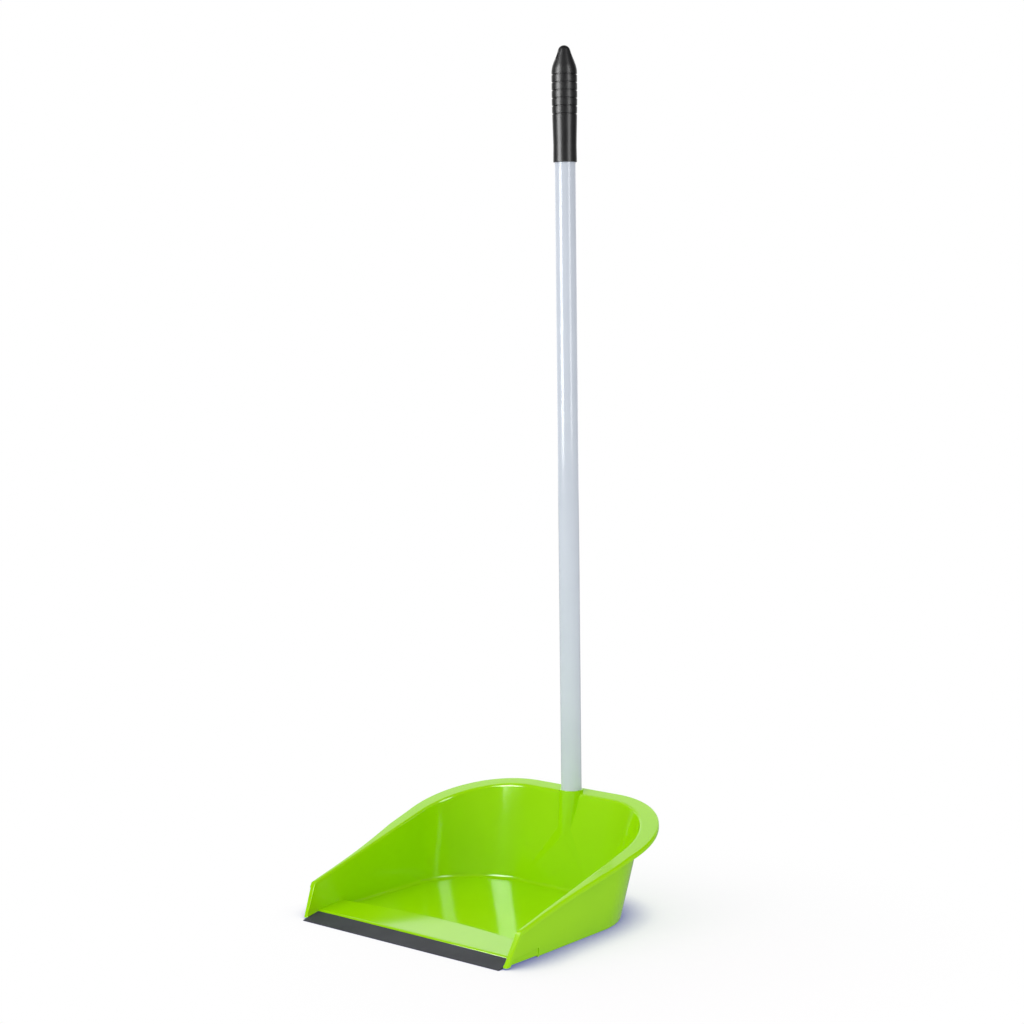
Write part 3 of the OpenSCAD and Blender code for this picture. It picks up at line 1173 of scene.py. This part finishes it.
    def slot_box(self) -> Object:
        """The slot at the front of the lip's channel.

        Returns:
            The solid.
        """
        front = self.bead_d - self.channel_r - self.overrun
        low, high = self.bead_h - self.slot_h / 2, self.bead_h + self.slot_h / 2
        outline = ((front, low), (self.bead_d, low), (self.bead_d, high), (front, high))
        return self.bar("slot", outline, self.bore_w / 2 - self.seam)

    def cross_rod(self, name: str, radius: float, half: float) -> Object:
        """A round bar along the lip's bead.

        Args:
            name: The object's name.
            radius: Its radius.
            half: Half its length.

        Returns:
            The solid.
        """
        ends = [self.point(x, self.bead_d, self.bead_h) for x in (-half, half)]
        return solid(name, rod(radius * MM, *ends))

    def build(self) -> Object:
        """Builds and dresses the pan.

        Returns:
            The piece.
        """
        pan = self.tray()
        for room in self.hollows():
            combine(pan, room, Join.CUT)
        channel = self.cross_rod("channel", self.channel_r - self.channel_inset, self.channel_w / 2)
        for part in (self.ramp(), self.nose(), channel, self.edging(), self.socket(), self.rib()):
            combine(pan, part, Join.ADD)
        combine(pan, self.corner_waste(), Join.CUT)
        combine(pan, self.cross_rod("bead_bore", self.bead_bore, self.bore_w / 2), Join.CUT)
        combine(pan, self.slot_box(), Join.CUT)
        floor = self.point(0.0, self.handle_d, self.socket_h - self.socket_depth)
        mouth = self.point(0.0, self.handle_d, self.socket_h + self.overrun)
        combine(pan, solid("bore", rod(self.socket_bore * MM, floor, mouth, TURN_STEPS)), Join.CUT)
        dress(pan, PAN_PLASTIC, Body.PAN, "pan")
        return pan


@dataclass
class Lip:
    """The rubber sweeping lip with its bead. Sizes in mm."""

    pan: Pan
    width: float = 265.2
    bead_w: float = 237.4
    bead_r: float = 1.6
    neck_t: float = 1.0
    rear_t: float = 3.4
    edge_t: float = 0.9
    gap: float = 0.4
    cup_inset: float = 0.14
    arc_steps: int = 10
    rounds: tuple[float, ...] = (0.2, 0.35, 0.4)
    round_steps: int = 2

    def blade(self) -> Object:
        """The tapered strip, hollowed behind to clear the channel.

        Returns:
            The solid.
        """
        d, h = self.pan.bead_d, self.pan.bead_h
        reach = self.pan.channel_r + self.gap
        rear = d - self.bead_r
        wide = math.asin((self.rear_t / 2 - self.cup_inset) / reach)
        turns = [wide - 2 * wide * k / self.arc_steps for k in range(self.arc_steps + 1)]
        cup = [(d - reach * math.cos(a), h + reach * math.sin(a)) for a in turns]
        top = self.edge_t + (h + self.rear_t / 2 - self.edge_t) * cup[0][0] / rear
        low = (h - self.rear_t / 2) * cup[-1][0] / rear
        outline = [(0.0, 0.0), (0.0, self.edge_t), (cup[0][0], top), *cup[1:-1], (cup[-1][0], low)]
        return self.pan.bar("lip", outline, self.width / 2, self.rounds, self.round_steps)

    def neck(self) -> Object:
        """The thin web between blade and bead.

        Returns:
            The solid.
        """
        d, h = self.pan.bead_d, self.pan.bead_h
        front = d - self.pan.channel_r - self.gap - self.pan.overrun
        low, high = h - self.neck_t / 2, h + self.neck_t / 2
        outline = ((front, low), (d, low), (d, high), (front, high))
        return self.pan.bar("neck", outline, self.bead_w / 2)

    def build(self) -> Object:
        """Builds and dresses the lip.

        Returns:
            The piece.
        """
        lip = self.blade()
        combine(lip, self.neck(), Join.ADD)
        combine(lip, self.pan.cross_rod("bead", self.bead_r, self.bead_w / 2), Join.ADD)
        dress(lip, LIP_RUBBER, Body.LIP, "lip")
        return lip


@dataclass
class Handle:
    """The push-in handle: tube, end plug and grip. Sizes in mm."""

    pan: Pan
    tube_r: float = 11.0
    tube_wall: float = 0.7
    tube_round: float = 0.2
    tube_l: float = 821.2
    plug_gap: float = 0.4
    plug_head_t: float = 2.5
    plug_edge: float = 1.0
    plug_l: float = 18.0
    plug_round: float = 0.35
    plug_top_round: float = 0.3
    clear: float = 0.05
    grip_l: float = 120.6
    grip_r: float = 13.4
    grip_foot_round: float = 0.6
    grip_mouth_round: float = 0.25
    waist_r: float = 12.25
    foot_r: float = 12.5
    waist_h: float = 17.6
    full_l: float = 57.0
    cap_l: float = 26.0
    nose_r: float = 6.6
    tip_lean: float = 0.37
    tip_l: float = 28.6
    groove_first: float = 30.2
    groove_pitch: float = 8.1
    groove_w: float = 1.6
    groove_depth: float = 0.8
    groove_count: int = 6
    hang_r: float = 3.2
    hang_drop: float = 10.5
    dish_l: float = 14.0
    dish_depth: float = 1.3
    hang_turn: float = 50.0
    arc_steps: int = 12

    def __post_init__(self) -> None:
        """Works out the sizes that follow from the others."""
        self.centre = self.pan.point(0.0, self.pan.handle_d, 0.0)
        self.plug_h = self.pan.socket_h - self.pan.socket_depth + self.plug_gap
        self.tube_h = self.plug_h + self.plug_head_t
        self.top_h = self.tube_h + self.tube_l + self.cap_l
        self.tip_angle = math.atan(self.tip_lean)
        stretch = 1 / math.cos(self.tip_angle)
        self.tip_start_r = self.nose_r * (stretch - self.tip_lean)
        tip_end_r = self.tip_start_r + self.tip_lean * self.tip_l
        self.shoulder_r = (tip_end_r - self.grip_r) / (stretch - 1)

    def tube(self) -> Object:
        """The thin steel tube.

        Returns:
            The piece.
        """
        low, high = self.tube_h, self.tube_h + self.tube_l
        inner = self.tube_r - self.tube_wall
        outline = ((self.tube_r, low), (self.tube_r, high), (inner, high), (inner, low))
        rounds = [(self.tube_r, h, self.tube_round) for h in (low, high)]
        piece = solid("handle_tube", turned(outline, self.centre, True, rounds))
        dress(piece, TUBE_COATING, Body.HANDLE, "handle_tube")
        return piece

    def plug(self) -> Object:
        """The plug in the tube's lower end.

        Returns:
            The piece.
        """
        inner = self.tube_r - self.tube_wall - self.clear
        outer = self.tube_r - self.clear
        head = self.plug_h + self.plug_head_t
        top = head + self.plug_l
        outline = (
            (0.0, self.plug_h),
            (self.tube_r - self.plug_edge, self.plug_h),
            (outer, self.plug_h + self.plug_edge),
            (outer, head),
            (inner, head),
            (inner, top - self.plug_edge),
            (inner - self.plug_edge, top),
            (0.0, top),
        )
        rounds = (
            (self.tube_r - self.plug_edge, self.plug_h, self.plug_round),
            (outer, self.plug_h + self.plug_edge, self.plug_round),
            (inner, top - self.plug_edge, self.plug_top_round),
        )
        piece = solid("tube_plug", turned(outline, self.centre, False, rounds))
        dress(piece, PLUG_PLASTIC, Body.HANDLE, "tube_plug")
        return piece

    def body_r(self, t: float) -> float:
        """Radius of the ribbed part.

        Args:
            t: Depth below the top.

        Returns:
            The radius.
        """
        if t < self.full_l:
            return self.grip_r
        share = (t - self.full_l) / (self.grip_l - self.waist_h - self.full_l)
        return self.grip_r - (self.grip_r - self.waist_r) * share

    def grip_outline(self) -> list[tuple[float, float]]:
        """Radius and height of the grip's profile.

        Returns:
            The points, from the bore's mouth outside round to the bore's floor.
        """
        base = self.top_h - self.grip_l
        bore = self.tube_r + self.clear
        points = [(bore, base), (self.foot_r, base), (self.waist_r, base + self.waist_h)]
        for k in reversed(range(self.groove_count)):
            t = self.groove_first + k * self.groove_pitch
            half = self.groove_w / 2
            for offset, sunk in ((half, 0.0), (half / 2, 1.0), (-half / 2, 1.0), (-half, 0.0)):
                r = self.body_r(t + offset) - sunk * self.groove_depth
                points.append((r, self.top_h - t - offset))
        for k in range(self.arc_steps + 1):
            a = self.tip_angle * k / self.arc_steps
            r = self.grip_r - self.shoulder_r * (1 - math.cos(a))
            points.append((r, self.top_h - self.tip_l + self.shoulder_r * math.sin(a)))
        for k in reversed(range(self.arc_steps + 1)):
            a = (math.pi / 2 - self.tip_angle) * k / self.arc_steps
            points.append((self.nose_r * math.sin(a), self.top_h - self.nose_r * (1 - math.cos(a))))
        floor = self.top_h - self.cap_l
        return [(0.0, floor), (bore, floor), *points]

    def hang_cut(self, grip: Object) -> None:
        """Cuts the hanging hole and the dish around each of its ends.

        Args:
            grip: The grip that is cut.
        """
        turn = math.radians(self.hang_turn)
        way = Vector((math.cos(turn), math.sin(turn), 0.0))
        middle = self.centre + Vector((0, 0, (self.top_h - self.hang_drop) * MM))
        reach = way * self.grip_r * MM
        combine(grip, solid("hang", rod(self.hang_r * MM, middle - reach, middle + reach)), Join.CUT)
        dish_r = (self.dish_l**2 / 4 + self.dish_depth**2) / (2 * self.dish_depth)
        lift = dish_r - self.dish_depth
        out = self.tip_start_r + self.tip_lean * self.hang_drop + lift * math.cos(self.tip_angle)
        for side in (-1, 1):
            ball = bmesh.new()
            bmesh.ops.create_uvsphere(
                ball, u_segments=TURN_STEPS, v_segments=TURN_STEPS // 2, radius=dish_r * MM
            )
            rise = Vector((0, 0, lift * math.sin(self.tip_angle) * MM))
            shift = middle + way * (side * out * MM) + rise
            bmesh.ops.translate(ball, vec=shift, verts=ball.verts[:])
            combine(grip, solid("dish", ball), Join.CUT)

    def grip(self) -> Object:
        """The ribbed grip with its hanging hole.

        Returns:
            The piece.
        """
        base = self.top_h - self.grip_l
        rounds = (
            (self.foot_r, base, self.grip_foot_round),
            (self.tube_r + self.clear, base, self.grip_mouth_round),
        )
        piece = solid("grip", turned(self.grip_outline(), self.centre, False, rounds))
        self.hang_cut(piece)
        dress(piece, GRIP_PLASTIC, Body.HANDLE, "grip")
        return piece

    def build(self) -> list[Object]:
        """Builds and dresses the handle's pieces.

        Returns:
            The pieces.
        """
        return [self.tube(), self.plug(), self.grip()]


@dataclass
class Camera:
    """The photograph's viewpoint, fitted to the lip, rim, tube and grip.

    Lengths are in mm and angles in degrees.
    """

    pan: Pan
    around: float = 39.006
    distance: float = 2302.2
    height: float = 650.1
    focal_px: float = 2170.7
    roll: float = -0.732
    pitch: float = 6.029
    yaw: float = 1.503

    def build(self) -> Object:
        """Makes the camera and sets it as the scene's.

        Returns:
            The camera.
        """
        a = math.radians(self.around)
        az = math.radians(self.around + self.yaw)
        tip = math.radians(self.pitch)
        roll = math.radians(self.roll)
        place = self.pan.point(
            math.sin(a) * self.distance,
            self.pan.handle_d - math.cos(a) * self.distance,
            self.height,
        )
        ahead = Vector((-math.sin(az) * math.cos(tip), math.cos(az) * math.cos(tip), -math.sin(tip)))
        right = Vector((math.cos(az), math.sin(az), 0.0))
        up = right.cross(ahead)
        right, up = (
            right * math.cos(roll) + up * math.sin(roll),
            up * math.cos(roll) - right * math.sin(roll),
        )
        data = bpy.data.cameras.new("camera")
        data.sensor_width = SENSOR_MM
        data.lens = self.focal_px * SENSOR_MM / PHOTO_SIDE
        data.clip_end = CLIP_END
        made = bpy.data.objects.new("camera", data)
        turn = Matrix((right, up, -ahead)).transposed().to_4x4()
        made.matrix_world = Matrix.Translation(place) @ turn
        bpy.context.scene.collection.objects.link(made)
        bpy.context.scene.camera = made
        return made


@dataclass(frozen=True)
class Lamp:
    """One upright soft box, in metres. It faces the pan from a bearing about its middle."""

    name: str
    bearing: float
    distance: float
    low: float
    high: float
    width: float
    radiance: float
    seen_by: Rays

    def build(self) -> Object:
        """Sets up the lamp.

        Returns:
            The lamp.
        """
        turn = math.radians(self.bearing)
        middle = (self.low + self.high) / 2
        place = Vector((math.sin(turn) * self.distance, -math.cos(turn) * self.distance, middle))
        data = bpy.data.lights.new(self.name, "AREA")
        data.shape = "RECTANGLE"
        data.size = self.width
        data.size_y = self.high - self.low
        data.energy = self.radiance * math.pi * data.size * data.size_y
        made = bpy.data.objects.new(self.name, data)
        made.location = place
        made.rotation_mode = "QUATERNION"
        made.rotation_quaternion = Vector((-place.x, -place.y, 0.0)).to_track_quat("-Z", "Y")
        made.visible_diffuse = self.seen_by is Rays.SHADE
        made.visible_glossy = self.seen_by is Rays.GLOSS
        bpy.context.scene.collection.objects.link(made)
        return made


LAMPS = (
    Lamp("front_box", -20.5, 0.75, 0.395, 1.5, 0.48, 15.0, Rays.GLOSS),
    Lamp("right_box", 90.0, 0.80, 0.41, 1.5, 0.28, 8.0, Rays.GLOSS),
    Lamp("key", -29.0, 1.9, 0.9, 2.3, 1.2, 1.3, Rays.SHADE),
    Lamp("right_low", 80.0, 0.9, 0.01, 0.17, 1.2, 2.0, Rays.SHADE),
)


@dataclass
class Studio:
    """Pale floor with a painted contact shadow, white surroundings and soft lamps."""

    floor_half: float = 4.0
    floor_glow: Color = (0.66, 0.67, 0.72)
    floor_tone: Color = (0.36, 0.34, 0.29)
    # Painted contact shadow: its colour, and the reach, range and samples of the ambient occlusion
    # that paints it onto the floor.
    painted_contact_shadow: Color = (0.20, 0.22, 0.46)
    painted_shadow_reach: float = 0.05
    painted_shadow_range: Span = (0.3, 0.95)
    painted_shadow_samples: int = 8
    floor_plain: Color = (0.92, 0.92, 0.92)
    floor_mirrored: Color = (0.3, 0.3, 0.31)
    shade_middle: tuple[float, float, float] = (-0.19, 0.02, 0.0)
    clear_range: Span = (0.08, 0.44)
    sky: Color = (0.96, 0.96, 0.97)
    sky_shaded: Color = (0.48, 0.48, 0.49)
    shaded_side: tuple[float, float, float] = (0.82, 0.57, 0.0)
    shaded_range: Span = (0.0, 0.9)
    dim: Color = (0.02, 0.02, 0.022)
    backdrop: tuple[float, float, float] = (-0.65, 0.76, 0.0)
    backdrop_range: Span = (0.45, 0.9)
    backdrop_light: Color = (1.3, 1.3, 1.3)

    def towards(self, graph: Graph, where: Value, way: Sequence[float]) -> Value:
        """How far a direction points along a way, as a cosine.

        Args:
            graph: The world's graph.
            where: The direction.
            way: The way.

        Returns:
            The cosine.
        """
        made = graph.node("ShaderNodeVectorMath", {"operation": "DOT_PRODUCT"}, {0: where, 1: way})
        return graph.out(made, "Value")

    def world(self) -> None:
        """Sets a white background, a sky that is dimmer on one side and a dim room for the gloss."""
        world = bpy.data.worlds.new("studio")
        world.use_nodes = True
        graph = Graph(world.node_tree)
        seen, glossy = graph.rays()
        where = graph.out(graph.node("ShaderNodeTexCoord"), "Generated")
        behind = self.towards(graph, where, self.backdrop).eased(*self.backdrop_range)
        aside = self.towards(graph, where, self.shaded_side).eased(*self.shaded_range)
        mirrored = graph.blend(behind, self.dim, self.backdrop_light)
        sky = graph.blend(aside, self.sky, self.sky_shaded)
        light = graph.blend(glossy, sky, mirrored)
        color = graph.blend(seen, light, WHITE)
        glow = graph.node("ShaderNodeBackground", None, {"Color": color, "Strength": 1.0})
        graph.node("ShaderNodeOutputWorld", None, {"Surface": graph.out(glow)})
        bpy.context.scene.world = world

    def floor(self) -> Object:
        """Makes the floor, which is white where nothing shades it. Near shade_middle it shows its
        real shadow, tinted blue by its glow, and further out it fades to plain white; ambient
        occlusion paints a dark blue contact shadow on it near the object.

        Returns:
            The floor.
        """
        mesh = bmesh.new()
        bmesh.ops.create_grid(mesh, x_segments=1, y_segments=1, size=self.floor_half)
        made = solid("floor", mesh)
        paint = bpy.data.materials.new("floor_paper")
        paint.use_nodes = True
        graph = Graph(paint.node_tree)
        seen, glossy = graph.rays()
        ends = {0: graph.place(), 1: self.shade_middle}
        shifted = graph.node("ShaderNodeVectorMath", {"operation": "ADD"}, ends)
        run = graph.node("ShaderNodeVectorMath", {"operation": "LENGTH"}, {0: graph.out(shifted)})
        far = graph.out(run, "Value").eased(*self.clear_range)
        # Painted contact shadow: ambient occlusion darkens the floor's glow and tone towards the
        # contact colour near the object.
        settings = {"samples": self.painted_shadow_samples}
        near = graph.node("ShaderNodeAmbientOcclusion", settings, {"Distance": self.painted_shadow_reach})
        open_share = graph.out(near, "AO").eased(*self.painted_shadow_range)
        close = graph.blend(open_share, self.painted_contact_shadow, WHITE)
        lit = graph.blend(far, self.floor_glow, WHITE)
        shaded = graph.blend(far, self.floor_tone, BLACK)
        glow = graph.node("ShaderNodeEmission", None, {"Color": graph.product(lit, close)})
        tone = graph.node("ShaderNodeBsdfDiffuse", None, {"Color": graph.product(shaded, close)})
        shown = graph.node("ShaderNodeAddShader", None, {0: graph.out(glow), 1: graph.out(tone)})
        plain = graph.node("ShaderNodeBsdfDiffuse", None, {"Color": opaque(self.floor_plain)})
        dull = graph.node("ShaderNodeEmission", None, {"Color": opaque(self.floor_mirrored)})
        sockets = {0: glossy, 1: graph.out(plain), 2: graph.out(dull)}
        unseen = graph.node("ShaderNodeMixShader", None, sockets)
        sockets = {0: seen, 1: graph.out(unseen), 2: graph.out(shown)}
        mixed = graph.node("ShaderNodeMixShader", None, sockets)
        graph.node("ShaderNodeOutputMaterial", None, {"Surface": graph.out(mixed)})
        made.data.materials.append(paint)
        return made

    def build(self) -> None:
        """Sets the view transform, surroundings, floor and lamps."""
        bpy.context.scene.view_settings.view_transform = "Standard"
        self.world()
        self.floor()
        for lamp in LAMPS:
            lamp.build()


def main() -> None:
    """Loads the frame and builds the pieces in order."""
    logging.basicConfig(level=logging.INFO, format="%(name)s %(message)s")
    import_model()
    pan = Pan(edge_y=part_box("lip")[0][1])
    pieces = [pan.build(), Lip(pan).build(), *Handle(pan).build()]
    Camera(pan).build()
    Studio().build()
    LOG.info("%d pieces dressed", len(pieces))


if __name__ == "__main__":
    main()
